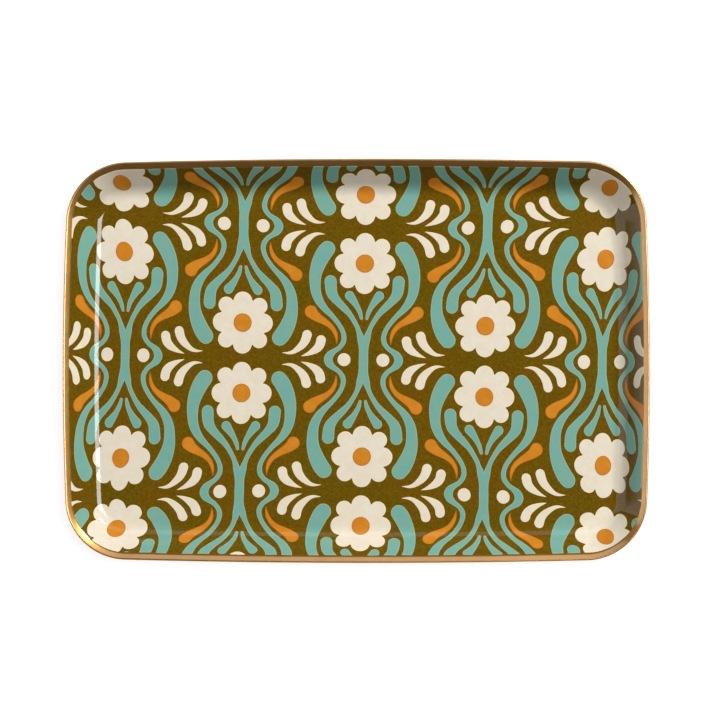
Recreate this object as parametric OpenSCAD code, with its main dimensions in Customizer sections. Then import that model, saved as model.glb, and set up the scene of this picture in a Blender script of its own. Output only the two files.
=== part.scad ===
// Shallow pressed-steel serving tray with a wired, gilded rim and a painted inside.
// Millimetres. Z is up, X runs along the length, and the origin is under the middle of the tray,
// on the plane that its felt pads stand on.

/* [Tray] */
// Overall length, over the rim
tray_l = 305; // [280:1:340]
// Overall width, over the rim
tray_w = 210; // [190:1:240]
// Corner radius of the rim's outer edge
corner_r = 32; // [28:1:40]

/* [Pressed sheet] */
// Thickness of the steel sheet
sheet_t = 0.7; // [0.6:0.1:1]
// Inner radius of the bend between the floor and the wall
bend_r = 10; // [6:0.5:11]
// Lean of the wall above the floor, in degrees
wall_angle = 48; // [40:1:55]
// Length of the straight part of the wall, up its slope
wall_l = 12; // [10:0.5:13]
// Radius of the rolled rim
rim_r = 2; // [1.8:0.1:2.2]
// Clearance between the rim's curl and the wire inside it
wire_gap = 0.05; // [0.02:0.01:0.1]

/* [Felt pads] */
// Diameter of a pad
pad_d = 12; // [8:1:16]
// Thickness of a pad
pad_t = 1.5; // [1:0.1:3]
// Distance from the floor's bent edge to a pad's centre
pad_inset = 20; // [16:1:30]

/* [Paint] */
// Thickness of the baked ground coat
ground_t = 0.15; // [0.1:0.01:0.2]
// Thickness of one painted layer
paint_t = 0.1; // [0.08:0.01:0.15]
// Distance between neighbouring columns of the pattern
column_pitch = 64; // [60:0.5:72]
// Distance between repeats down a column
row_pitch = 137.5; // [130:0.5:150]
// Turn of the whole pattern against the tray, in degrees
pattern_turn = -0.93; // [-2:0.01:2]
// Shift of the pattern along the length
pattern_x = 3.9; // [-10:0.1:10]
// Shift of the pattern along the width
pattern_y = 0.5; // [-10:0.1:10]
// How much the press stretches the pattern's rows apart at the short ends
end_stretch = 0.079; // [0:0.001:0.1]
// How much the press draws the pattern's columns together at the short ends
end_pull = 0.023; // [0:0.001:0.03]
// How much it pushes them back outward in the corners
corner_push = 0.037; // [0:0.001:0.05]

/* [Hidden] */
$fn = 128;
// Straight pieces drawn between two points of a stroke's centre line
STEPS = 2;
// Straight pieces that the bend is drawn with under the paint
BEND_STEPS = 8;
// Both sides of a mirror
BOTH = [-1, 1];

// Colours
GOLD = "#c39a5c";
STEEL = "#8f9296";
OLIVE = "#6f5110";
TEAL = "#78aba0";
ORANGE = "#d88328";
CREAM = "#e9ddc8";
FELT = "#3b362f";

// Heights
sheet_z = pad_t;
floor_z = pad_t + sheet_t;

// The wall's cross-section runs outward from x = 0, where the flat floor ends
bend_run = bend_r * sin(wall_angle);
bend_rise = bend_r * (1 - cos(wall_angle));
wall_run = bend_run + wall_l * cos(wall_angle);
wall_rise = bend_rise + wall_l * sin(wall_angle);
full_run = wall_run + rim_r * (1 + sin(wall_angle));
// The curl starts at 90 degrees to the wall's slope, goes outward and ends under the wall
curl_end = 90 + 66 - 360;
curl_mid = (90 + curl_end) / 2;
// Flat strip of floor that belongs to the wall's cross-section, so that the two overlap
flange = 4;
floor_lap = 2;

// The plan is a rectangle with round corners
half_l = tray_l / 2;
half_w = tray_w / 2;
corner_x = half_l - corner_r;
corner_y = half_w - corner_r;
corner_floor_r = corner_r - full_run;
pad_x = half_l - full_run - pad_inset;
pad_y = half_w - full_run - pad_inset;

// Developed length of the bend, from the flat floor up to the straight slope
bend_l = bend_r * wall_angle * PI / 180;
slope_l = bend_l + wall_l;

// ---- Motifs ----
// A brush stroke is a list of [x, y, half width] down its centre line. All of them lie in one
// quarter of a cell, whose origin is the middle of a stem, and are mirrored into the other three.
BRANCH = [
    [1, 0, 1.5], [1, 6, 1.5], [1.7, 11.5, 1.8], [2.7, 15, 1.3], [4.2, 18.5, 1.2], [7.4, 23.6, 1.4],
    [10.5, 27, 1.8], [14.5, 31, 2.2], [17.2, 35, 2.9], [17.9, 41, 3.2]
];
SCROLL = [
    [18.5, 0, 2.3], [17.5, 2.5, 2], [15.5, 4.3, 1.4], [12.8, 6.2, 1.2], [10.8, 9, 1.3], [10.4, 12, 1.3],
    [11.4, 15.5, 1.2], [13.6, 19, 1.2], [16.8, 22.8, 1.3], [20.4, 26.3, 1.7], [23.3, 30, 2.2],
    [25.3, 34.5, 2.6], [26, 39.5, 2.9], [25.8, 45, 3.3], [24.2, 50.5, 3.9], [21.7, 55.5, 4.2],
    [19.8, 58, 4.1]
];
DROP = [[1.4, 21.8, 0.8], [2.3, 25, 1.2], [3.7, 27.8, 1.4], [5.5, 30.6, 1.9], [7.8, 33.6, 2.5]];
LEAF = [
    [14.2, 8.4, 0.2], [14.3, 11, 0.7], [15, 13.8, 1.1], [16.7, 16.6, 1.3], [19.4, 18.9, 1.6],
    [22.8, 20.9, 2.1], [25.7, 22.7, 2.7], [27.9, 24.8, 3.4]
];
INNER_PLUME = [[32.7, 1.5, 0.1], [29, 2.8, 1], [25.2, 5, 2], [23.1, 7.4, 2.4], [22.4, 10.1, 2.5]];
OUTER_PLUME = [
    [42.7, 3.1, 0.1], [39.3, 3, 0.7], [36.3, 4, 1.2], [32.8, 6.8, 1.9], [30.8, 9.6, 2.3], [29.8, 12.7, 2.5]
];
DOT = [10.2, 0];
DOT_R = 3.4;
DAISY = [0, 50.6];
// Even petals lie along the tray's sides and odd ones between them: [distance out, radius]
PETALS = [[11, 5], [12.4, 4.3]];
DAISY_CENTRE_R = 4.8;

// ---- Lengths of sheet, measured outward from the floor's edge, up the bend and the slope ----

// How far the sheet leans, in degrees
function lean(l) = l < 0 ? 0 : min(l / bend_r * 180 / PI, wall_angle);

// Its horizontal run
function run(l) =
    l < 0 ? l : (l < bend_l ? bend_r * sin(lean(l)) : bend_run + (l - bend_l) * cos(wall_angle));

// Its rise
function rise(l) =
    l < 0 ? 0 : (l < bend_l ? bend_r * (1 - cos(lean(l))) : bend_rise + (l - bend_l) * sin(wall_angle));

// ---- Plan of the tray ----

// Sweeps a cross-section, drawn with the bend at x = 0, along one straight side
module along_side(corner_distance, length) {
    translate([corner_distance, 0, 0])
        rotate([90, 0, 0])
            linear_extrude(length, center = true)
                translate([corner_floor_r, 0])
                    children();
}

// Sweeps a cross-section round one corner, from the direction given
module round_corner(x, y, from) {
    translate([x * corner_x, y * corner_y, 0])
        rotate([0, 0, from])
            rotate_extrude(angle = 90)
                translate([corner_floor_r, 0])
                    children();
}

// Sweeps a cross-section round the whole tray
module round_the_tray() {
    for (end = [0, 180]) {
        rotate([0, 0, end])
            along_side(corner_x, 2 * corner_y)
                children();
        rotate([0, 0, 90 + end])
            along_side(corner_y, 2 * corner_x)
                children();
    }
    round_corner(1, 1, 0)
        children();
    round_corner(-1, 1, 90)
        children();
    round_corner(-1, -1, 180)
        children();
    round_corner(1, -1, 270)
        children();
}

// Rectangle with round corners, drawn inward from the rim's outer edge by inset
module plan_outline(inset) {
    r = corner_r - inset;
    for (x = [-corner_x, corner_x]) {
        for (y = [-corner_y, corner_y]) {
            translate([x, y])
                circle(r = r);
        }
    }
    square([2 * corner_x, 2 * (corner_y + r)], center = true);
    square([2 * (corner_x + r), 2 * corner_y], center = true);
}

// ---- Cross-sections, measured from the sheet's inner face ----

// A wedge with its point at the origin, between two angles less than 180 degrees apart
module wedge(from, to, reach) {
    mid = (from + to) / 2;
    polygon([
        [0, 0],
        reach * [cos(from), sin(from)],
        2 * reach * [cos(mid), sin(mid)],
        reach * [cos(to), sin(to)]
    ]);
}

// Part of a ring between two angles less than 180 degrees apart
module ring_part(inner, outer, from, to) {
    intersection() {
        difference() {
            circle(r = outer);
            circle(r = inner);
        }
        wedge(from, to, 2 * outer);
    }
}

// Turns what is drawn under a level wall, with the bend's centre at the origin, up to the wall's slope
module on_slope() {
    translate([0, bend_r])
        rotate(wall_angle)
            children();
}

// Floor strip, bend and slope of one layer, between two heights above the sheet's inner face.
// The bend is drawn from both of its ends, and the two parts lap over each other in the middle.
module layer_section(low, high) {
    part = 0.6 * wall_angle;
    translate([-flange, low])
        square([flange, high - low]);
    translate([0, bend_r])
        ring_part(bend_r - high, bend_r - low, -90, part - 90);
    on_slope() {
        ring_part(bend_r - high, bend_r - low, -90 - part, -90);
        translate([0, low - bend_r])
            square([wall_l, high - low]);
    }
}

// The sheet's own section, which ends in the curl round the wire
module pan_section() {
    layer_section(-sheet_t, 0);
    on_slope()
        translate([wall_l, -bend_r - rim_r]) {
            ring_part(rim_r - sheet_t, rim_r, curl_mid, 90);
            ring_part(rim_r - sheet_t, rim_r, curl_end, curl_mid);
        }
}

// The same section with the bend drawn as short straight pieces, for layers that are cut into motifs
module painted_section(low, high) {
    stops = concat([-flange], [for (i = [0 : BEND_STEPS]) bend_l * i / BEND_STEPS], [slope_l]);
    polygon(concat(
        [for (l = stops) [run(l) - low * sin(lean(l)), rise(l) + low * cos(lean(l))]],
        [for (l = reversed(stops)) [run(l) - high * sin(lean(l)), rise(l) + high * cos(lean(l))]]
    ));
}

// A flat layer of floor that laps over the flange
module floor_layer(low, high) {
    translate([0, 0, low])
        linear_extrude(high - low)
            plan_outline(full_run + floor_lap);
}

// ---- Outlines of the painted motifs ----

function xy(p) = [p.x, p.y];
function unit(p) = p / norm(p);
function reversed(list) = [for (i = [len(list) - 1 : -1 : 0]) list[i]];
function mirrored(points, sx, sy) = [for (p = points) [sx * p.x, sy * p.y, p.z]];

// Catmull-Rom curve through a list of points
function curve_point(a, b, c, d, t) =
    0.5 * (2 * b + (c - a) * t + (2 * a - 5 * b + 4 * c - d) * t * t + (3 * b - a - 3 * c + d) * t * t * t);
function curve(p) =
    let (last = len(p) - 1)
    concat(
        [for (i = [0 : last - 1], k = [0 : STEPS - 1])
            curve_point(p[max(i - 1, 0)], p[i], p[i + 1], p[min(i + 2, last)], k / STEPS)],
        [p[last]]
    );

function turned(v, a) = [v.x * cos(a) - v.y * sin(a), v.y * cos(a) + v.x * sin(a)];

// Round end of a stroke, from its right side to its left
function cap(p, dir) = [for (a = [-60 : 30 : 60]) xy(p) + p.z * turned(dir, a)];

// Outline of a stroke
function stroke(path) =
    let (
        c = curve(path),
        last = len(c) - 1,
        dir = [for (i = [0 : last]) unit(xy(c[min(i + 1, last)] - c[max(i - 1, 0)]))],
        right = [for (i = [0 : last]) xy(c[i]) + c[i].z * [dir[i].y, -dir[i].x]],
        left = [for (i = [0 : last]) xy(c[i]) - c[i].z * [dir[i].y, -dir[i].x]]
    )
    concat(right, cap(c[last], dir[last]), reversed(left), cap(c[0], -dir[0]));

// Outline of a disc
function disc(centre, r, steps) = [for (i = [0 : steps - 1]) centre + r * turned([1, 0], 360 * i / steps)];

// How far a petal reaches from the daisy's middle, in a direction turned away from its own by turn
function petal_reach(petal, turn) =
    abs(petal[0] * sin(turn)) < petal[1] && cos(turn) > 0
        ? petal[0] * cos(turn) + sqrt(pow(petal[1], 2) - pow(petal[0] * sin(turn), 2))
        : 0;

// Scalloped outline of the eight petals
function daisy(centre, steps) =
    [for (i = [0 : steps - 1])
        let (a = 360 * i / steps)
        centre + max([for (k = [0 : 7]) petal_reach(PETALS[k % 2], a - 45 * k)]) * turned([1, 0], a)];

// ---- The pattern on the pressed sheet ----

// Where a point of the printed pattern comes to lie once the sheet is pressed, before it is bent up
function pressed(p) =
    let (
        x = p.x + pattern_x,
        along = pow(x / (2 * column_pitch), 2),
        across = pow(p.y / (corner_y + corner_floor_r), 2),
        pulled = p.x * (1 - end_pull * along + corner_push * along * across),
        stretched = [pulled, p.y * (1 + end_stretch * along)]
    )
    [pattern_x, pattern_y] + turned(stretched, pattern_turn);

// How far a point of the flat sheet lies beyond the floor's edge
function beyond_floor(p) =
    let (q = [abs(p.x) - corner_x, abs(p.y) - corner_y])
    (q.x > 0 && q.y > 0 ? norm(q) : max(q.x, q.y)) - corner_floor_r;

// The direction straight out from the floor's edge at that point
function outward(p) =
    let (q = [abs(p.x) - corner_x, abs(p.y) - corner_y], side = [p.x < 0 ? -1 : 1, p.y < 0 ? -1 : 1])
    q.x > 0 && q.y > 0
        ? [side.x * q.x, side.y * q.y] / norm(q)
        : (q.x > q.y ? [side.x, 0] : [0, side.y]);

// The point's place in plan on the finished tray
function on_tray(p) =
    let (l = beyond_floor(p))
    l < 0 ? p : p + (run(l) - l) * outward(p);

function lies_flat(outline) = max([for (p = outline) beyond_floor(p)]) < -0.5;
function shows(outline) = min([for (p = outline) beyond_floor(p)]) < slope_l - 0.5;

// Centres of all the cells that may reach the tray: every second column is half a row down
CELLS = [
    for (column = [-4 : 4], row = [-2 : 2])
        [column * column_pitch, (row + (column % 2 == 0 ? 0 : 0.5)) * row_pitch]
];

// Copies outlines into every cell, pressed, and keeps those that show
function in_every_cell(outlines) =
    [for (cell = CELLS, o = outlines)
        let (placed = [for (p = o) pressed(cell + p)])
        if (shows(placed)) placed];
function in_quarters(path) = [for (sx = BOTH, sy = BOTH) stroke(mirrored(path, sx, sy))];

// One painted layer, from outlines on the flat sheet, whose underside is low above the sheet's face
module paint(outlines, low) {
    translate([0, 0, floor_z + low])
        linear_extrude(paint_t)
            for (o = outlines) {
                if (lies_flat(o)) polygon(o);
            }
    intersection() {
        translate([0, 0, floor_z]) {
            round_the_tray()
                painted_section(low, low + paint_t);
            floor_layer(low, low + paint_t);
        }
        linear_extrude(floor_z + wall_rise + rim_r)
            for (o = outlines) {
                if (!lies_flat(o)) polygon([for (p = o) on_tray(p)]);
            }
    }
}

// ---- Sub-parts ----

module pan() {
    color(GOLD)
        translate([0, 0, floor_z]) {
            round_the_tray()
                pan_section();
            floor_layer(-sheet_t, 0);
        }
}

module rim_wire() {
    color(STEEL)
        translate([0, 0, floor_z])
            round_the_tray()
                on_slope()
                    translate([wall_l, -bend_r - rim_r])
                        circle(r = rim_r - sheet_t - wire_gap);
}

module ground_enamel() {
    color(OLIVE)
        translate([0, 0, floor_z]) {
            round_the_tray()
                layer_section(0, ground_t);
            floor_layer(0, ground_t);
        }
}

module teal_stems() {
    color(TEAL)
        paint(in_every_cell(in_quarters(BRANCH)), ground_t);
}

module teal_scrolls() {
    // The upper and lower halves of a scroll are one stroke, which shares its middle point
    lower = mirrored(reversed(SCROLL), 1, -1);
    upper = [for (i = [1 : len(SCROLL) - 1]) SCROLL[i]];
    whole = concat(lower, upper);
    color(TEAL)
        paint(in_every_cell([for (sx = BOTH) stroke(mirrored(whole, sx, 1))]), ground_t);
}

module teal_drops() {
    color(TEAL)
        paint(in_every_cell(in_quarters(DROP)), ground_t);
}

module orange_leaves() {
    color(ORANGE)
        paint(in_every_cell(in_quarters(LEAF)), ground_t);
}

module cream_plumes() {
    color(CREAM)
        paint(in_every_cell(concat(in_quarters(INNER_PLUME), in_quarters(OUTER_PLUME))), ground_t);
}

module cream_dots() {
    color(CREAM)
        paint(in_every_cell([for (sx = BOTH) disc([sx * DOT.x, DOT.y], DOT_R, 24)]), ground_t);
}

module daisy_petals() {
    color(CREAM)
        paint(in_every_cell([for (sy = BOTH) daisy([DAISY.x, sy * DAISY.y], 80)]), ground_t);
}

module daisy_centres() {
    // The orange is painted on top of the petals
    low = ground_t + paint_t;
    color(ORANGE)
        paint(in_every_cell([for (sy = BOTH) disc([DAISY.x, sy * DAISY.y], DAISY_CENTRE_R, 32)]), low);
}

// A pad stuck under one corner of the floor; x and y are 1 or -1
module felt_pad(x, y) {
    color(FELT)
        translate([x * pad_x, y * pad_y, 0])
            cylinder(h = pad_t, d = pad_d);
}

pan();
rim_wire();
ground_enamel();
teal_stems();
teal_scrolls();
teal_drops();
orange_leaves();
cream_plumes();
cream_dots();
daisy_petals();
daisy_centres();
felt_pad(-1, -1);  // felt_pad_front_left
felt_pad(1, -1);  // felt_pad_front_right
felt_pad(-1, 1);  // felt_pad_back_left
felt_pad(1, 1);  // felt_pad_back_right
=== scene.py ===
import math

import bpy
import numpy as np
from mathutils import Matrix, Vector
from mathutils.geometry import delaunay_2d_cdt


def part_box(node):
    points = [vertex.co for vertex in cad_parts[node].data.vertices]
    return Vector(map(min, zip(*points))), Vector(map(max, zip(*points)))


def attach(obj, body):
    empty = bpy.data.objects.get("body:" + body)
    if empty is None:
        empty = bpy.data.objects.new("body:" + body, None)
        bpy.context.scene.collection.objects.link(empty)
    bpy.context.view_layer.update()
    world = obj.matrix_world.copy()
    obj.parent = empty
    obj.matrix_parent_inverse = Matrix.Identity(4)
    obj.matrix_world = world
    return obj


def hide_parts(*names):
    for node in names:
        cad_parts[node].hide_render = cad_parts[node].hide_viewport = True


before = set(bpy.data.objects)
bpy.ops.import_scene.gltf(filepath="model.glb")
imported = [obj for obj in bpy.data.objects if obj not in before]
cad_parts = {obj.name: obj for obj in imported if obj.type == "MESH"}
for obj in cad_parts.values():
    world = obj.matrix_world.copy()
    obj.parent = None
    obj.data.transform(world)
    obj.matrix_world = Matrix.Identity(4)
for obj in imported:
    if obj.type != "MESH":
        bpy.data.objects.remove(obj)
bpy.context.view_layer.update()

MM = 0.001
rng = np.random.default_rng(7)

# ---- Dimensions ----
# The outline and the thickness of the sheet and of the paint are the CAD's
pan_low, pan_high = (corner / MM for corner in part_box("pan"))
HALF_L, HALF_W = pan_high.x, pan_high.y
CORNER_R = 32.0
SHEET_T = 0.7
GROUND_T = 0.15
PAINT_T = 0.1

# The bend's inner radius, and the wall, which leans a little less than the CAD's
BEND_R = 10.0
WALL_ANGLE = math.radians(46)
WALL_L = 11.4

# The rim is rolled flatter than a round bead: (distance beyond the slope, lean in degrees) of the sheet
ROLL = [(0, 46), (0.9, 29), (2.9, 26), (4.2, -84), (6.3, -94), (7.6, -180), (8.8, -190), (10.3, -262)]
ROLL_L = ROLL[-1][0]
CURL_STEPS = 44

# The wire hangs below the place at this distance beyond the slope
WIRE_PLACE_L = 1.55
WIRE_R = 0.72
WIRE_GAP = 0.04
WIRE_STEPS = 20

FLOOR_Z = pan_low.z + SHEET_T
BEND_L = BEND_R * WALL_ANGLE
SLOPE_L = BEND_L + WALL_L

# The sides bow out, so the corners lie this far inside a straight-sided outline. The bow fades out
# over this distance from the floor's edge inward.
BOW = 1.5
BOW_WIDTH = 12.0

# The enamel stops this far short of the end of the slope along the two long sides. At the two ends it
# runs this far past it.
SIDE_GAP = 0.4
END_OVERRUN = 0.5

# The floor's rings of vertices: shares of the innermost ring, then distances beyond the floor's edge
FLOOR_SHARES = (0.06, 0.25, 0.45, 0.65, 0.85)
FLOOR_LENGTHS = (-12, -8, -5, -2.5, -1)

# ---- The pressed sheet ----
# A point of the sheet is given by its place on the flat blank. The blank's middle is the floor, and
# what lies beyond the floor's edge is pressed up into the bend, the sloping wall and the rolled rim.


def roll_table(step=0.02):
    """Distances along the rolled rim, and the run and rise that they come to."""
    distance = np.arange(0, ROLL_L + 1, step)
    lean = np.radians(np.interp(distance, *zip(*ROLL)))
    run, rise = (np.concatenate([[0], np.cumsum(f(lean[:-1])) * step]) for f in (np.cos, np.sin))
    return distance, run, rise


ROLL_DISTANCE, ROLL_RUN, ROLL_RISE = roll_table()


def section(l):
    """Run and rise of the sheet's inner face at distances l beyond the floor's edge."""
    bend = np.clip(l, 0, BEND_L) / BEND_R
    slope = np.clip(l - BEND_L, 0, WALL_L)
    run = np.minimum(l, 0) + BEND_R * np.sin(bend) + slope * math.cos(WALL_ANGLE)
    rise = BEND_R * (1 - np.cos(bend)) + slope * math.sin(WALL_ANGLE)
    run += np.interp(l - SLOPE_L, ROLL_DISTANCE, ROLL_RUN)
    rise += np.interp(l - SLOPE_L, ROLL_DISTANCE, ROLL_RISE)
    return run, rise


FULL_RUN = section(np.linspace(0, SLOPE_L + ROLL_L, 2000))[0].max()
CORNER = np.array([HALF_L - CORNER_R, HALF_W - CORNER_R])
CORNER_FLOOR_R = CORNER_R - FULL_RUN


def beyond_floor(p):
    """How far points of the blank lie beyond the floor's edge, and the direction straight out."""
    q = np.abs(p) - CORNER
    in_corner = (q > 0).all(1)
    reach = np.maximum(np.hypot(q[:, 0], q[:, 1]), 1e-9)
    distance = np.where(in_corner, reach, q.max(1)) - CORNER_FLOOR_R
    sideways = (q[:, 0] > q[:, 1]).astype(float)
    straight = np.stack([sideways, 1 - sideways], 1)
    out = np.where(in_corner[:, None], q / reach[:, None], straight)
    return distance, out * np.where(p < 0, -1.0, 1.0)


def inner_face(p):
    """Points of the blank, on the finished sheet's inner face."""
    l, out = beyond_floor(p)
    run, rise = section(l)
    plan = p + (run - l)[:, None] * out
    weight = np.clip(1 + l / BOW_WIDTH, 0, 1)
    pull = BOW * weight * weight * (3 - 2 * weight)
    u, v = np.clip(plan / CORNER, -1, 1).T
    plan = plan - np.stack([pull * u * v * v, pull * v * u * u], 1)
    return np.column_stack([plan, FLOOR_Z + rise])


def normals(p):
    """Normals of the inner face, which point into the tray."""
    step = 0.01
    dx = inner_face(p + [step, 0]) - inner_face(p - [step, 0])
    dy = inner_face(p + [0, step]) - inner_face(p - [0, step])
    n = np.cross(dx, dy)
    return n / np.linalg.norm(n, axis=1, keepdims=True)


def raised(p, height):
    """Points of the blank, at a height over the inner face."""
    return inner_face(p) + normals(p) * np.reshape(height, (-1, 1))


def paint_edge(p):
    """Distance beyond the floor at which the enamel stops, a little uneven along the rim."""
    x, y = p.T
    wave = 0.12 * np.sin(0.19 * x + 0.7) * np.cos(0.23 * y) + 0.08 * np.sin(0.47 * x + 0.39 * y + 2)
    on_long_side = beyond_floor(p)[1][:, 1] ** 2
    return SLOPE_L + END_OVERRUN - (SIDE_GAP + END_OVERRUN) * on_long_side + wave


# ---- Rings round the tray ----
ARC_STEPS = 24
LONG_STEPS = 60
SHORT_STEPS = 36


def perimeter():
    """Points on the rectangle of corner centres, and the directions straight out from them."""
    bases, outs = [], []
    signs = [(1, 1), (-1, 1), (-1, -1), (1, -1)]
    for k, sign in enumerate(signs):
        centre = CORNER * sign
        following = CORNER * signs[(k + 1) % 4]
        for i in range(ARC_STEPS):
            a = math.pi / 2 * (k + i / ARC_STEPS)
            bases.append(centre)
            outs.append((math.cos(a), math.sin(a)))
        a = math.pi / 2 * (k + 1)
        steps = LONG_STEPS if k % 2 == 0 else SHORT_STEPS
        for i in range(steps):
            bases.append(centre + (following - centre) * i / steps)
            outs.append((math.cos(a), math.sin(a)))
    return np.array(bases, float), np.array(outs)


RING_BASE, RING_OUT = perimeter()
RING_N = len(RING_BASE)


def ring(l):
    """The blank's outline at a distance l beyond the floor's edge."""
    return RING_BASE + np.reshape(CORNER_FLOOR_R + l, (-1, 1)) * RING_OUT


RIM_EDGE = ring(paint_edge(ring(SLOPE_L)))


def floor_rings():
    """Rings on the flat floor, from the middle out."""
    return [ring(FLOOR_LENGTHS[0]) * share for share in FLOOR_SHARES] + [ring(l) for l in FLOOR_LENGTHS]


def wall_lengths(bend_steps=12, slope_steps=6):
    """Distances beyond the floor's edge of the rings on the bend and the slope."""
    bend = [BEND_L * i / bend_steps for i in range(bend_steps)]
    return bend + [BEND_L + WALL_L * i / slope_steps for i in range(slope_steps + 1)]


# ---- Meshes ----


def make_object(name, vertices, faces, material, smooth=True):
    """A new object, from vertices in millimetres."""
    mesh = bpy.data.meshes.new(name)
    mesh.from_pydata((np.asarray(vertices) * MM).tolist(), [], faces)
    mesh.materials.append(material)
    mesh.polygons.foreach_set("use_smooth", [smooth] * len(mesh.polygons))
    mesh.validate()
    obj = bpy.data.objects.new(name, mesh)
    bpy.context.scene.collection.objects.link(obj)
    return obj


def skin(rings, capped=True):
    """Vertices and faces of a skin over rings of equal size: capped at both ends, or joined to itself."""
    n = len(rings[0])
    vertices = list(np.concatenate(rings))
    faces = []
    pairs = [(k, k + 1) for k in range(len(rings) - 1)]
    if not capped:
        pairs.append((len(rings) - 1, 0))
    for a, b in pairs:
        for i in range(n):
            j = (i + 1) % n
            faces.append((a * n + i, a * n + j, b * n + j, b * n + i))
    if capped:
        for first, flip in ((0, False), ((len(rings) - 1) * n, True)):
            middle = len(vertices)
            vertices.append(np.mean(vertices[first:first + n], axis=0))
            for i in range(n):
                j = (i + 1) % n
                edge = (first + i, first + j) if flip else (first + j, first + i)
                faces.append((middle, *edge))
    return vertices, [face[::-1] for face in faces]


def finish_piece(obj, slot, *nodes):
    """Puts a piece on the tray's body, in place of CAD nodes."""
    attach(obj, "root")
    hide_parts(*nodes)


# ---- Materials ----


def linear(*rgb):
    """Scene colour for an 8-bit sRGB colour."""
    return tuple(((c / 255 + 0.055) / 1.055) ** 2.4 if c > 10 else c / 255 / 12.92 for c in rgb) + (1,)


class Graph:
    """A short way to write a material's nodes."""

    def __init__(self, name):
        self.material = bpy.data.materials.new(name)
        self.material.use_nodes = True
        self.tree = self.material.node_tree
        self.shader = self.tree.nodes["Principled BSDF"]
        self.place = self.add("TexCoord").outputs["Object"]

    def add(self, kind, **values):
        node = self.tree.nodes.new("ShaderNode" + kind)
        for key, value in values.items():
            if hasattr(node, key):
                setattr(node, key, value)
            else:
                self.set(node.inputs[key.replace("_", " ")], value)
        return node

    def set(self, socket, value):
        if isinstance(value, bpy.types.NodeSocket):
            self.tree.links.new(value, socket)
        else:
            socket.default_value = value

    def noise(self, size, detail=2.0, roughness=0.5, stretch=(1, 1, 1)):
        """Noise from 0 to 1 whose lumps are about size millimetres wide."""
        where = self.add("Mapping", Scale=[s / (size * MM) for s in stretch])
        self.set(where.inputs["Vector"], self.place)
        node = self.add("TexNoise", Scale=1.0, Detail=detail, Roughness=roughness)
        self.set(node.inputs["Vector"], where.outputs["Vector"])
        return node.outputs["Fac"]

    def remap(self, value, low, high, to_low=0.0, to_high=1.0):
        node = self.add("MapRange", From_Min=low, From_Max=high, To_Min=to_low, To_Max=to_high)
        self.set(node.inputs["Value"], value)
        return node.outputs["Result"]

    def math(self, operation, a, b):
        node = self.add("Math", operation=operation)
        self.set(node.inputs[0], a)
        self.set(node.inputs[1], b)
        return node.outputs[0]

    def mix(self, factor, a, b, blend="MIX"):
        node = self.add("Mix", data_type="RGBA", blend_type=blend)
        self.set(node.inputs["Factor"], factor)
        self.set(node.inputs[6], a)
        self.set(node.inputs[7], b)
        return node.outputs[2]

    def attribute(self, name):
        return self.add("Attribute", attribute_name=name).outputs["Fac"]

    def bump(self, height, depth, normal=None):
        """Normals for a height from 0 to 1 that is depth millimetres deep."""
        node = self.add("Bump", Strength=1.0, Distance=depth * MM)
        self.set(node.inputs["Height"], height)
        if normal is not None:
            self.set(node.inputs["Normal"], normal)
        return node.outputs["Normal"]

    def finish(self, **inputs):
        for key, value in inputs.items():
            self.set(self.shader.inputs[key.replace("_", " ")], value)
        return self.material


def lacquer(g, colour, normal=None):
    """The glossy clear lacquer that lies over all of the paint."""
    flow = g.bump(g.noise(28, 1.0), 0.012)
    flow = g.bump(g.noise(1.6, 2.0), 0.0007, flow)
    g.finish(
        Base_Color=colour, Normal=normal or flow, Coat_Normal=flow,
        Roughness=g.remap(g.noise(5, 3.0), 0.3, 0.7, 0.42, 0.52),
        Coat_Weight=1.0, Coat_Roughness=0.045, Coat_IOR=1.5, Specular_IOR_Level=0.0,
    )
    return g.material


def olive_enamel():
    g = Graph("olive_enamel")
    lumps = g.remap(g.noise(26, 3.0), 0.35, 0.65)
    grain = g.remap(g.noise(1.3, 3.0, 0.7), 0.35, 0.65)
    colour = g.mix(lumps, linear(114, 89, 4), linear(119, 88, 3))
    colour = g.mix(grain, colour, g.mix(lumps, linear(88, 70, 2), linear(98, 69, 2)))
    return lacquer(g, colour)


def motif_paint(name, body, worn, edge):
    """A screen-printed paint: its body colour clouds into a second one, and its edge line shows a third."""
    g = Graph(name)
    clouds = g.remap(g.noise(4, 3.0, 0.6), 0.35, 0.65)
    grain = g.remap(g.noise(1.0, 2.0), 0.3, 0.7)
    inside = g.attribute("inside")
    colour = g.mix(clouds, linear(*body), linear(*worn))
    colour = g.mix(g.math("MULTIPLY", grain, 0.25), colour, linear(*[0.94 * c for c in body]))
    line = g.remap(inside, 0.95, 0.2, 0.0, 0.85)
    colour = g.mix(line, colour, linear(*edge))
    flow = g.bump(g.noise(28, 1.0), 0.012)
    return lacquer(g, colour, g.bump(inside, 0.03, flow))


def gilt_lacquer():
    """Gold lacquer on bare steel, satin, with fine rubbed lines and a warmer patina in patches."""
    g = Graph("gilt_steel")
    patina = g.remap(g.noise(14, 4.0, 0.6), 0.35, 0.7)
    speckle = g.remap(g.noise(0.7, 3.0, 0.7), 0.45, 0.75)
    colour = g.mix(patina, linear(208, 156, 82), linear(196, 142, 68))
    colour = g.mix(g.math("MULTIPLY", speckle, 0.25), colour, linear(180, 124, 54))
    rubbed = g.noise(0.6, 3.0, 0.6, (1, 0.08, 1))
    normal = g.bump(rubbed, 0.0008, g.bump(g.noise(11, 2.0), 0.006))
    return g.finish(
        Base_Color=colour, Metallic=0.85, Normal=normal,
        Roughness=g.remap(g.noise(3.5, 3.0, 0.6), 0.3, 0.7, 0.28, 0.36),
        Coat_Weight=1.0, Coat_Roughness=0.1, Coat_IOR=1.8,
    )


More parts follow.
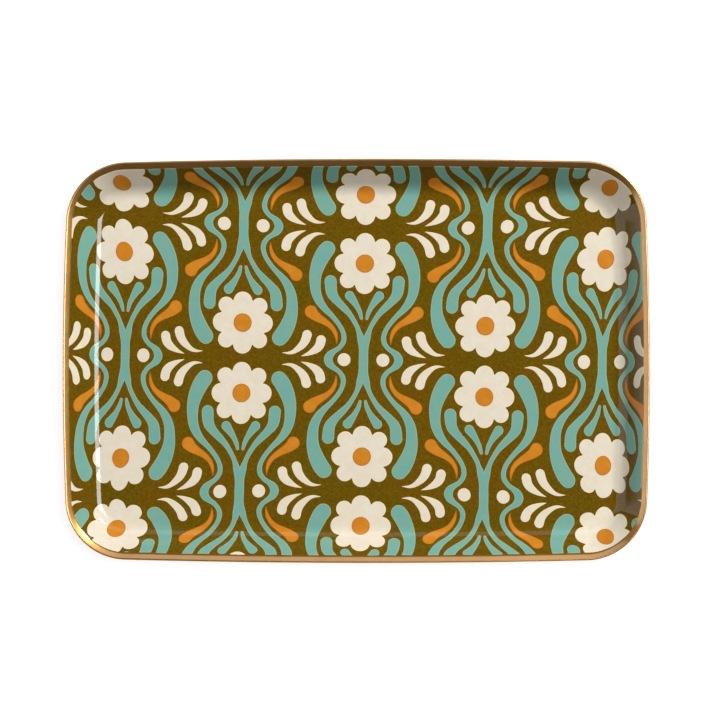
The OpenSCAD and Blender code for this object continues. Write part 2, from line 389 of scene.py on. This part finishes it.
def drawn_steel():
    g = Graph("steel_wire")
    lines = g.noise(0.5, 3.0, 0.6)
    colour = g.mix(g.noise(6, 3.0), linear(150, 152, 155), linear(120, 118, 116))
    return g.finish(
        Base_Color=colour, Metallic=1.0, Normal=g.bump(lines, 0.004),
        Roughness=g.remap(lines, 0.3, 0.7, 0.28, 0.45),
    )


def pressed_felt():
    g = Graph("felt")
    fibres = g.noise(0.35, 5.0, 0.75, (1, 0.35, 1))
    tufts = g.noise(1.3, 3.0, 0.6)
    colour = g.mix(g.remap(fibres, 0.3, 0.7), linear(46, 40, 35), linear(84, 76, 67))
    colour = g.mix(g.remap(tufts, 0.4, 0.7, 0, 0.5), colour, linear(60, 53, 47))
    normal = g.bump(fibres, 0.12, g.bump(tufts, 0.15))
    return g.finish(Base_Color=colour, Roughness=0.95, Sheen_Weight=0.4, Sheen_Roughness=0.5, Normal=normal)


GILT = gilt_lacquer()
STEEL = drawn_steel()
OLIVE = olive_enamel()
TEAL = motif_paint("teal_paint", (115, 173, 162), (129, 174, 154), (166, 186, 146))
ORANGE = motif_paint("orange_paint", (214, 137, 40), (205, 127, 31), (190, 104, 30))
CREAM = motif_paint("cream_paint", (236, 226, 206), (232, 219, 195), (243, 226, 182))
FELT = pressed_felt()

# ---- Pan, wire, enamel and pads ----
# A felt pad from its underside to its top: shares of its radius and of its height
PAD_PROFILE = [
    (0.3, 0.02), (0.6, 0.02), (0.85, 0.03), (0.95, 0.07), (0.99, 0.22), (1, 0.5), (0.99, 0.8),
    (0.96, 0.95), (0.9, 0.995), (0.6, 1), (0.3, 1),
]


def dents(p):
    """A very slight unevenness of the rolled rim, as a depth."""
    x, y = p.T
    return 0.008 * (2 + np.sin(0.11 * x + 0.5) * np.cos(0.09 * y) + np.sin(0.31 * x - 0.27 * y))


def make_pan():
    """The sheet's inner face out to the end of the curl, and its outer face back again."""
    end = SLOPE_L + ROLL_L
    curl = [SLOPE_L + ROLL_L * i / CURL_STEPS for i in range(1, CURL_STEPS + 1)]
    blanks = floor_rings() + [ring(l) for l in wall_lengths() + curl]
    lengths = [-1] * len(floor_rings()) + wall_lengths() + curl
    faces_in = [raised(p, -dents(p) * min(max(l - SLOPE_L, 0), 1)) for p, l in zip(blanks, lengths)]
    edge = [raised(ring(end + 0.1), -h) for h in (0.12, 0.35, 0.58)]
    faces_out = [raised(p, -SHEET_T) for p in reversed(blanks)]
    pan = make_object("pan_shell", *skin(faces_in + edge + faces_out), GILT)
    finish_piece(pan, "gilt_steel", "pan")


def make_wire():
    """The round wire that the rim is rolled round."""
    top = ring(SLOPE_L + WIRE_PLACE_L)
    centre = raised(top, -SHEET_T - WIRE_GAP - WIRE_R)
    up = normals(top)
    near, far = (inner_face(ring(SLOPE_L + WIRE_PLACE_L + step)) for step in (-0.2, 0.2))
    across = far - near
    across /= np.linalg.norm(across, axis=1, keepdims=True)
    turns = [2 * math.pi * i / WIRE_STEPS for i in range(WIRE_STEPS)]
    rings = [centre + WIRE_R * (math.cos(a) * up + math.sin(a) * across) for a in turns]
    wire = make_object("rim_wire_drawn", *skin(rings, capped=False), STEEL)
    finish_piece(wire, "steel_wire", "rim_wire")


def make_ground():
    """The olive ground coat, which thins out to a rounded edge at the rim."""
    edge_l = paint_edge(ring(SLOPE_L))
    wall = [ring(l) for l in wall_lengths()[:-1]]
    blanks = floor_rings() + wall + [ring(edge_l - 0.6), ring(edge_l - 0.12)]
    top = [raised(p, GROUND_T) for p in blanks] + [raised(RIM_EDGE, 0.6 * GROUND_T)]
    underside = [raised(RIM_EDGE, 0.0)] + [raised(p, 0.0) for p in reversed(blanks)]
    ground = make_object("ground_enamel_coat", *skin(top + underside), OLIVE)
    finish_piece(ground, "olive_enamel", "ground_enamel")


def make_pad(node):
    """A die-cut felt disc with soft edges and a slightly fuzzy rim."""
    low, high = (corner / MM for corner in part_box(node))
    centre = (low + high) / 2
    radius, height, steps = (high.x - low.x) / 2, high.z - low.z, 56
    rings = []
    for share, level in PAD_PROFILE:
        fuzz = rng.uniform(0.975, 1.0, steps) if share > 0.9 else np.ones(steps)
        turns = np.arange(steps) * 2 * math.pi / steps
        across = radius * share * fuzz
        rings.append(np.column_stack([
            centre.x + across * np.cos(turns), centre.y + across * np.sin(turns),
            np.full(steps, low.z + level * height),
        ]))
    vertices, faces = skin(rings)
    pad = make_object(node + "_disc", vertices, [f[::-1] for f in faces], FELT)
    finish_piece(pad, "felt", node)


# ---- The printed pattern ----
# Brush strokes as [x, y, half width] down their centre lines, in one quarter of a cell whose origin is
# the middle of a stem, and mirrored into the other three.
BRANCH = [
    [1, 0, 1.5], [1, 6, 1.5], [1.7, 11.5, 1.8], [2.7, 15, 1.3], [4.2, 18.5, 1.2], [7.4, 23.6, 1.4],
    [10.5, 27, 1.8], [14.5, 31, 2.2], [17.2, 35, 2.9], [17.9, 41, 3.2],
]
SCROLL = [
    [18.5, 0, 2.3], [17.5, 2.5, 2], [15.5, 4.3, 1.4], [12.8, 6.2, 1.2], [10.8, 9, 1.3], [10.4, 12, 1.3],
    [11.4, 15.5, 1.2], [13.6, 19, 1.2], [16.8, 22.8, 1.3], [20.4, 26.3, 1.7], [23.3, 30, 2.2],
    [25.3, 34.5, 2.6], [26, 39.5, 2.9], [25.8, 45, 3.3], [24.2, 50.5, 3.9], [21.7, 55.5, 4.2],
    [19.8, 58, 4.1],
]
DROP = [[1.4, 21.8, 0.8], [2.3, 25, 1.2], [3.7, 27.8, 1.4], [5.5, 30.6, 1.9], [7.8, 33.6, 2.5]]
LEAF = [
    [14.2, 8.4, 0.2], [14.3, 11, 0.7], [15, 13.8, 1.1], [16.7, 16.6, 1.3], [19.4, 18.9, 1.6],
    [22.8, 20.9, 2.1], [25.7, 22.7, 2.7], [27.9, 24.8, 3.4],
]
INNER_PLUME = [[32.7, 1.5, 0.1], [29, 2.8, 1], [25.2, 5, 2], [23.1, 7.4, 2.4], [22.4, 10.1, 2.5]]
OUTER_PLUME = [
    [42.7, 3.1, 0.1], [39.3, 3, 0.7], [36.3, 4, 1.2], [32.8, 6.8, 1.9], [30.8, 9.6, 2.3],
    [29.8, 12.7, 2.5],
]
DOT_X, DOT_R = 10.2, 3.4
DAISY_Y, DAISY_CENTRE_R = 50.6, 4.8
PETALS = [(11, 5), (12.4, 4.3)]  # distance out and radius, of even and odd petals

COLUMN_PITCH = 64.0
ROW_PITCH = 137.5
PATTERN_TURN = math.radians(-0.93)
PATTERN_SHIFT = np.array([3.9, 0.5])

# The press stretches the print towards the two ends: how much the rows spread, the columns draw together
# and then spread again in the corners, as shares, and how far the rows shift along +Y
END_STRETCH = 0.079
END_PULL = 0.023
CORNER_PUSH = 0.037
END_LIFT = 0.8

LEAST_REACH = 0.8    # a motif that reaches onto the slope by less than this is left out
STROKE_STEPS = 4     # pieces of a curve between two of its points
BOTH = (-1, 1)
QUARTERS = [(sx, sy) for sx in BOTH for sy in BOTH]


def curve(path):
    """Catmull-Rom curve through the points of a path."""
    p = np.array([path[0]] + list(path) + [path[-1]], float)
    points = []
    for a, b, c, d in zip(p, p[1:], p[2:], p[3:]):
        for k in range(STROKE_STEPS):
            t = k / STROKE_STEPS
            square = (2 * a - 5 * b + 4 * c - d) * t ** 2
            cube = (3 * b - a - 3 * c + d) * t ** 3
            points.append(0.5 * (2 * b + (c - a) * t + square + cube))
    return np.array(points + [p[-1]])


def cap(point, direction):
    """Round end of a stroke, from its right side to its left."""
    side = np.array([-direction[1], direction[0]])
    turns = [math.radians(a) for a in range(-75, 76, 15)]
    return [point[:2] + point[2] * (math.cos(a) * direction + math.sin(a) * side) for a in turns]


def stroke(path):
    """Anticlockwise outline of a brush stroke."""
    c = curve(path)
    ahead = np.concatenate([c[1:, :2], c[-1:, :2]]) - np.concatenate([c[:1, :2], c[:-1, :2]])
    ahead /= np.linalg.norm(ahead, axis=1, keepdims=True)
    side = np.stack([-ahead[:, 1], ahead[:, 0]], 1) * c[:, 2:]
    right, left = c[:, :2] - side, c[:, :2] + side
    return np.array([*right, *cap(c[-1], ahead[-1]), *left[::-1], *cap(c[0], -ahead[0])])


def mirrored(path, sx, sy):
    """A path mirrored in one or both axes, where a sign is -1."""
    return [[sx * x, sy * y, w] for x, y, w in path]


def disc(x, y, r, steps=40):
    """Outline of a dot."""
    turns = np.arange(steps) * 2 * math.pi / steps
    return np.column_stack([x + r * np.cos(turns), y + r * np.sin(turns)])


def petal_reach(petal, turn):
    """How far a petal reaches from the daisy's middle, in a direction turned away from its own."""
    distance, radius = petal
    inside = radius ** 2 - (distance * np.sin(turn)) ** 2
    reach = distance * np.cos(turn) + np.sqrt(np.maximum(inside, 0))
    return np.where((inside > 0) & (np.cos(turn) > 0), reach, 0)


def daisy(x, y, steps=144):
    """Scalloped outline of eight petals."""
    turns = np.arange(steps) * 2 * math.pi / steps
    r = np.max([petal_reach(PETALS[k % 2], turns - k * math.pi / 4) for k in range(8)], axis=0)
    return np.column_stack([x + r * np.cos(turns), y + r * np.sin(turns)])


def pressed(p):
    """Where points of the printed pattern come to lie on the blank once the sheet is stretched."""
    along = ((p[:, 0] + PATTERN_SHIFT[0]) / (2 * COLUMN_PITCH)) ** 2
    across = (p[:, 1] / (CORNER[1] + CORNER_FLOOR_R)) ** 2
    x = p[:, 0] * (1 - END_PULL * along + CORNER_PUSH * along * across)
    y = p[:, 1] * (1 + END_STRETCH * along) + END_LIFT * along
    c, s = math.cos(PATTERN_TURN), math.sin(PATTERN_TURN)
    return np.column_stack([x * c - y * s, y * c + x * s]) + PATTERN_SHIFT


def cells():
    """Centres of the cells that may reach the tray: every second column is half a row down."""
    for column in range(-4, 5):
        for row in range(-2, 3):
            yield np.array([column * COLUMN_PITCH, (row + (column % 2) / 2) * ROW_PITCH])


def in_every_cell(motifs):
    """Copies each motif, a list of outlines that run into one another, into every cell on the tray."""
    placed = []
    for cell in cells():
        for motif in motifs:
            outlines = [pressed(outline + cell) for outline in motif]
            reach = min(beyond_floor(outline)[0].min() for outline in outlines)
            if reach < SLOPE_L - LEAST_REACH:
                placed.append(outlines)
    return placed


# ---- Paint layers ----
EDGE_LINE = 0.55     # width of the line along a motif's edge
LINE_SPACING = 0.3   # least spacing of the vertices along the inner side of that line
WALL_GRID = 1.1      # spacing of the other vertices, which lie on the bend and the wall
GRID_START = -1.5    # where they start, beyond the floor's edge
GRID_GAP = 0.35      # how far they stay clear of the edge line
POINT_GAP = 1e-4     # points nearer than this become one
BEDDING = 0.02       # how far a printed layer sinks into what it lies on


def nearest_edge(points, a, b):
    """Distance from each point to the nearest of the edges from a to b."""
    along = b - a
    share = ((points[:, None] - a) * along).sum(2) / np.maximum((along ** 2).sum(1), 1e-12)
    foot = a + np.clip(share, 0, 1)[..., None] * along
    return np.linalg.norm(points[:, None] - foot, axis=2).min(1)


def open_edges(triangles):
    """Edges that have a triangle on one side only, in that triangle's direction."""
    directed = np.concatenate([triangles[:, [0, 1]], triangles[:, [1, 2]], triangles[:, [2, 0]]])
    keys = {tuple(e) for e in directed.tolist()}
    return np.array([e for e in directed.tolist() if (e[1], e[0]) not in keys])


def thinned(points, gap):
    """Leaves one point in each square of a grid."""
    _, first = np.unique(np.round(points / gap).astype(int), axis=0, return_index=True)
    return points[np.sort(first)]


def triangulate(outlines, rim_edges, extra):
    """Vertices and triangles of the outlines' union, short of the rim."""
    points = [tuple(p) for outline in outlines for p in outline]
    loops, edges, start = [], [], 0
    for outline in outlines:
        loops.append(list(range(start, start + len(outline))))
        start += len(outline)
    for a, b in rim_edges:
        edges.append((len(points), len(points) + 1))
        points += [tuple(a), tuple(b)]
    points += [tuple(p) for p in extra]
    found, _, faces, _, _, sources = delaunay_2d_cdt([Vector(p) for p in points], edges, loops, 0, POINT_GAP)
    found = np.array([tuple(p) for p in found])
    inside = np.array([f for f, source in zip(faces, sources) if source])
    middles = found[inside].mean(1)
    inside = inside[beyond_floor(middles)[0] < paint_edge(middles)]
    used, inverse = np.unique(inside, return_inverse=True)
    return found[used], inverse.reshape(-1, 3)


def rim_edges_near(outlines):
    """The pieces of the enamel's edge that may cut the outlines."""
    everything = np.concatenate(outlines)
    if beyond_floor(everything)[0].max() < SLOPE_L - 2:
        return []
    low, high = everything.min(0) - 6, everything.max(0) + 6
    close = ((RIM_EDGE > low) & (RIM_EDGE < high)).all(1)
    following = np.roll(RIM_EDGE, -1, axis=0)
    return [(a, b) for a, b, both in zip(RIM_EDGE, following, close & np.roll(close, -1)) if both]


def motif_skin(outlines):
    """Vertices, triangles and open edges of one motif on the blank.

    The last value says how far inside the motif's edge each vertex is: 0 on it, and 1 past the edge line.
    """
    rim = rim_edges_near(outlines)
    points, triangles = triangulate(outlines, rim, [])
    rims = open_edges(triangles)
    a, b = points[rims[:, 0]], points[rims[:, 1]]
    along = (b - a) / np.maximum(np.linalg.norm(b - a, axis=1, keepdims=True), 1e-9)
    inward = EDGE_LINE * np.stack([-along[:, 1], along[:, 0]], 1)
    inner_line = thinned(np.concatenate([(a + b) / 2 + inward, a + inward, b + inward]), LINE_SPACING)
    low, high = points.min(0), points.max(0)
    grid = np.stack(np.meshgrid(*[np.arange(l, h, WALL_GRID) for l, h in zip(low, high)]), -1).reshape(-1, 2)
    grid = grid[beyond_floor(grid)[0] > GRID_START] if len(grid) else grid
    extra = np.concatenate([inner_line, grid])
    gap = nearest_edge(extra, a, b)
    keep = gap > 0.95 * EDGE_LINE
    keep[len(inner_line):] &= gap[len(inner_line):] > EDGE_LINE + GRID_GAP
    points, triangles = triangulate(outlines, rim, extra[keep])
    rims = open_edges(triangles)
    inside = nearest_edge(points, points[rims[:, 0]], points[rims[:, 1]]) / EDGE_LINE
    return points, triangles, rims, np.clip(inside, 0, 1)


def paint_layer(name, node, slot, material, motifs, low=GROUND_T):
    """A printed layer: every motif is a thin closed solid that follows the pressed sheet."""
    blanks, heights, insides, faces, shading = [], [], [], [], []
    start = 0
    for outlines in in_every_cell(motifs):
        points, triangles, rims, inside = motif_skin(outlines)
        n = len(points)
        blanks += [points, points]
        heights += [np.full(n, low + PAINT_T), np.full(n, low - BEDDING)]
        insides += [inside, inside * 0]
        top = triangles + start
        underside = triangles[:, ::-1] + start + n
        a, b = rims.T + start
        faces += top.tolist() + underside.tolist() + np.stack([a, a + n, b + n, b], 1).tolist()
        shading += [True] * len(top) + [False] * (len(triangles) + len(rims))
        start += 2 * n
    blank = np.concatenate(blanks)
    obj = make_object(name, raised(blank, np.concatenate(heights)), faces, material, smooth=False)
    mesh = obj.data
    mesh.attributes.new("inside", "FLOAT", "POINT").data.foreach_set("value", np.concatenate(insides))
    mesh.polygons.foreach_set("use_smooth", shading)
    smooth_tops(mesh, normals(blank), shading)
    finish_piece(obj, slot, node)


def smooth_tops(mesh, sheet_normals, on_top):
    """Gives the top faces the pressed sheet's own normals, and leaves the sides flat."""
    corners = np.zeros(len(mesh.loops), int)
    mesh.loops.foreach_get("vertex_index", corners)
    chosen = sheet_normals[corners]
    for polygon, top in zip(mesh.polygons, on_top):
        if not top:
            chosen[polygon.loop_start:polygon.loop_start + polygon.loop_total] = polygon.normal
    mesh.normals_split_custom_set(chosen.tolist())


def quarters(*paths):
    """Each stroke as a motif of its own, in all four quarters."""
    return [[stroke(mirrored(path, sx, sy))] for path in paths for sx, sy in QUARTERS]


def make_pattern():
    """The layers of print, one for each node: the stem's four branches are one motif."""
    stem = [stroke(mirrored(BRANCH, sx, sy)) for sx, sy in QUARTERS]
    whole_scroll = mirrored(SCROLL[:0:-1], 1, -1) + SCROLL
    scrolls = [[stroke(mirrored(whole_scroll, sx, 1))] for sx in BOTH]
    dots = [[disc(s * DOT_X, 0, DOT_R)] for s in BOTH]
    petals = [[daisy(0, s * DAISY_Y)] for s in BOTH]
    centres = [[disc(0, s * DAISY_Y, DAISY_CENTRE_R)] for s in BOTH]
    paint_layer("teal_stems_print", "teal_stems", "teal_paint", TEAL, [stem])
    paint_layer("teal_scrolls_print", "teal_scrolls", "teal_paint", TEAL, scrolls)
    paint_layer("teal_drops_print", "teal_drops", "teal_paint", TEAL, quarters(DROP))
    paint_layer("orange_leaves_print", "orange_leaves", "orange_paint", ORANGE, quarters(LEAF))
    plumes = quarters(INNER_PLUME, OUTER_PLUME)
    paint_layer("cream_plumes_print", "cream_plumes", "cream_paint", CREAM, plumes)
    paint_layer("cream_dots_print", "cream_dots", "cream_paint", CREAM, dots)
    paint_layer("daisy_petals_print", "daisy_petals", "cream_paint", CREAM, petals)
    on_petals = GROUND_T + PAINT_T
    paint_layer("daisy_centres_print", "daisy_centres", "orange_paint", ORANGE, centres, on_petals)


# ---- Studio ----
FLOOR_REACH = 4000.0
WORLD_STRENGTH = 0.06


def make_floor():
    """A white floor that glows a little, so that it shows next to no shadow."""
    g = Graph("studio_floor")
    g.finish(
        Base_Color=(0.3, 0.3, 0.3, 1), Roughness=0.6,
        Emission_Color=(1, 1, 1, 1), Emission_Strength=0.82,
    )
    corners = [(-1, -1, 0), (1, -1, 0), (1, 1, 0), (-1, 1, 0)]
    floor = make_object("studio_floor", np.array(corners) * FLOOR_REACH, [(0, 1, 2, 3)], g.material)


def place_and_aim(obj, place, target):
    """Puts a light or camera at a place in metres, and turns it to face a target with +Y upward in view."""
    obj.location = place
    ahead = (Vector(target) - obj.location).normalized()
    side = ahead.cross(Vector((0, 1, 0))).normalized()
    obj.rotation_mode = "QUATERNION"
    obj.rotation_quaternion = Matrix((side, side.cross(ahead), -ahead)).transposed().to_quaternion()


def softbox(name, place, size, radiance, target=(0, 0, 0)):
    """An area light of a given radiance, in metres, that faces the tray."""
    data = bpy.data.lights.new(name, "AREA")
    data.shape = "RECTANGLE"
    data.size, data.size_y = size
    data.energy = radiance * math.pi * size[0] * size[1]
    light = bpy.data.objects.new(name, data)
    bpy.context.scene.collection.objects.link(light)
    place_and_aim(light, place, target)


def make_world():
    """A dim world, so that the lacquer doesn't reflect a grey veil."""
    world = bpy.data.worlds.new("studio")
    bpy.context.scene.world = world
    world.use_nodes = True
    background = world.node_tree.nodes["Background"]
    background.inputs["Color"].default_value = (1, 1, 1, 1)
    background.inputs["Strength"].default_value = WORLD_STRENGTH


def make_camera():
    """A long lens almost straight above the tray, a little to its front and right."""
    data = bpy.data.cameras.new("camera")
    data.sensor_width, data.lens = 36.0, 112.5
    camera = bpy.data.objects.new("camera", data)
    bpy.context.scene.collection.objects.link(camera)
    place = Vector((28.3, -24.6, FLOOR_Z + 1179)) * MM
    place_and_aim(camera, place, Vector((2.1, 0.5, FLOOR_Z)) * MM)
    bpy.context.scene.camera = camera


def make_studio():
    """The key shades the north and east walls, and the others show as reflections in the lacquer."""
    make_floor()
    make_world()
    softbox("key_north_east", (1.76, 1.79, 1.63), (0.56, 0.56), 65.0)
    softbox("overhead_east", (2.4, 0.55, 6.0), (3.1, 1.75), 11.4, (2.4, 0.55, 0.0))
    softbox("card_west", (-1.75, 0.0, 1.03), (2.0, 1.4), 1.05)
    softbox("card_north", (0.0, 1.45, 1.25), (2.0, 1.0), 0.85)
    bpy.context.scene.view_settings.view_transform = "Standard"
    make_camera()


make_pan()
make_wire()
make_ground()
for pad_node in ("felt_pad_front_left", "felt_pad_front_right", "felt_pad_back_left", "felt_pad_back_right"):
    make_pad(pad_node)
make_pattern()
make_studio()
